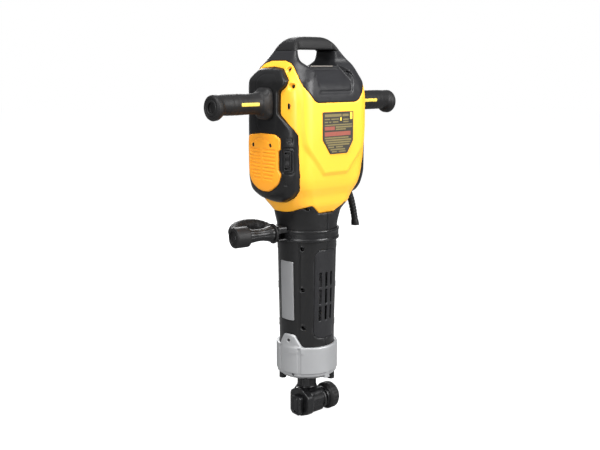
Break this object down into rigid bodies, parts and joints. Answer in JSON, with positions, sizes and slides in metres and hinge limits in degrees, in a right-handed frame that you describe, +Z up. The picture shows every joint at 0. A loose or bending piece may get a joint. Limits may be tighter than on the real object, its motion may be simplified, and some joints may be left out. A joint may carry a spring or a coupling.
{
  "type": "demolition hammer",
  "caption": "Heavy electric demolition hammer with T grips, carrying handle, side handle, long finned neck, alloy nose and a sprung tool retainer.",
  "frame": {"origin": "middle of the tool socket's mouth, on the impact axis", "axes": "+Z up along the impact axis, X along the T grips, -Y towards the front with the rating plate"},
  "size_m": [0.512, 0.19, 0.827],
  "materials": {
    "yellow_shell": "moulded nylon, fine texture",
    "amber_cover": "moulded nylon, fine texture",
    "black_plastic": "moulded glass-filled nylon",
    "grey_cover": "moulded glass-filled nylon, satin",
    "grip_rubber": "matt overmoulded rubber",
    "cast_alloy": "bead-blasted casting",
    "steel": "ground and turned",
    "dark_steel": "black phosphated forging",
    "copper": "enamelled winding and copper segments",
    "carbon": "pressed carbon",
    "silver_plate": "satin printed plate",
    "circuit_module": "potted electronics"
  },
  "bodies": {
    "root": {"body_shell": "yellow_shell", "rear_shell": "yellow_shell", "top_cover": "grey_cover", "carry_handle": "grip_rubber", "left_side_housing": "black_plastic", "right_side_housing": "black_plastic", "left_vent_cover": "amber_cover", "right_vent_cover": "amber_cover", "rating_label": "silver_plate", "neck_sleeve_left": "black_plastic", "neck_sleeve_right": "black_plastic", "neck_vent_front": "grey_cover", "neck_vent_rear": "grey_cover", "nameplate": "silver_plate", "front_housing": "cast_alloy", "front_bolt_1": "dark_steel", "front_bolt_2": "dark_steel", "front_bolt_3": "dark_steel", "front_bolt_4": "dark_steel", "tool_holder": "dark_steel", "beat_piece_sleeve": "steel", "cylinder_tube": "steel", "gear_case": "cast_alloy", "gear_cover": "cast_alloy", "crank_bearing": "steel", "motor_bearing_front": "steel", "stator_core": "steel", "motor_can": "black_plastic", "brush_bracket": "black_plastic", "carbon_brush_front": "carbon", "carbon_brush_rear": "carbon", "handle_frame": "cast_alloy", "float_spring_left": "steel", "float_spring_right": "steel", "control_module": "circuit_module", "switch_bezel": "black_plastic", "cord_guard": "grip_rubber"},
    "t_handle": {"handle_crossbar": "steel", "left_grip": "grip_rubber", "right_grip": "grip_rubber"},
    "power_switch": {"power_rocker": "grip_rubber"},
    "side_handle": {"clamp_band": "dark_steel", "side_handle_loop": "grip_rubber", "clamp_bolt": "steel"},
    "side_handle_nut": {"clamp_nut": "black_plastic"},
    "retainer_slide": {"retainer_collar": "dark_steel"},
    "retainer": {"retainer_bolt": "dark_steel", "retainer_knob": "grip_rubber"},
    "armature": {"motor_shaft": "steel", "armature_core": "copper", "commutator": "copper", "cooling_fan": "black_plastic"},
    "intermediate_gear": {"intermediate_shaft": "steel"},
    "crank": {"crankshaft": "steel", "crank_gear": "steel"},
    "conrod": {"connecting_rod": "steel", "wrist_pin": "steel"},
    "piston": {"piston": "cast_alloy"},
    "ram": {"ram": "steel"},
    "beat_piece": {"beat_piece": "steel"}
  },
  "joints": [
    {"name": "handle_float", "type": "slide", "parent": "root", "child": "t_handle", "axis": [0, 0, 1], "range_m": [-0.008, 0.008], "stiffness_N_per_m": 14000, "springref_m": 0.0016, "deforming": ["float_spring_left", "float_spring_right"]},
    {"name": "power_rock", "type": "hinge", "parent": "root", "child": "power_switch", "pos_m": [-0.10765, -0.06063, 0.5755], "axis": [-0.4067, 0.9135, 0], "range_deg": [-8, 8]},
    {"name": "side_handle_swivel", "type": "hinge", "parent": "root", "child": "side_handle", "pos_m": [0, 0, 0.409], "axis": [0, 0, 1], "range_deg": [-140, 140]},
    {"name": "clamp_nut_spin", "type": "hinge", "parent": "side_handle", "child": "side_handle_nut", "pos_m": [-0.11883, 0.0167, 0.413], "axis": [-0.9903, 0.1392, 0], "continuous": true},
    {"name": "retainer_push", "type": "slide", "parent": "root", "child": "retainer_slide", "axis": [-1, 0, 0], "range_m": [0, 0.004], "stiffness_N_per_m": 4000, "springref_m": -0.001},
    {"name": "retainer_turn", "type": "hinge", "parent": "retainer_slide", "child": "retainer", "pos_m": [0, -0.026, 0.03], "axis": [1, 0, 0], "range_deg": [0, 180]},
    {"name": "motor_spin", "type": "hinge", "parent": "root", "child": "armature", "pos_m": [0, 0, 0.56125], "axis": [1, 0, 0], "continuous": true},
    {"name": "intermediate_spin", "type": "hinge", "parent": "root", "child": "intermediate_gear", "pos_m": [0.045, 0, 0.523], "axis": [1, 0, 0], "continuous": true},
    {"name": "crank_spin", "type": "hinge", "parent": "root", "child": "crank", "pos_m": [0.016, 0, 0.474], "axis": [1, 0, 0], "continuous": true},
    {"name": "conrod_swing", "type": "hinge", "parent": "crank", "child": "conrod", "pos_m": [0, 0, 0.456], "axis": [1, 0, 0], "continuous": true},
    {"name": "piston_slide", "type": "slide", "parent": "root", "child": "piston", "axis": [0, 0, 1], "range_m": [0, 0.036]},
    {"name": "ram_slide", "type": "slide", "parent": "root", "child": "ram", "axis": [0, 0, 1], "range_m": [0, 0.044]},
    {"name": "beat_piece_slide", "type": "slide", "parent": "root", "child": "beat_piece", "axis": [0, 0, 1], "range_m": [0, 0.012]}
  ],
  "couplings": [
    {"joint": "intermediate_spin", "follows": "motor_spin", "ratio": -0.15909},
    {"joint": "crank_spin", "follows": "motor_spin", "ratio": 0.046053},
    {"joint": "conrod_swing", "follows": "motor_spin", "ratio": -0.046053}
  ]
}
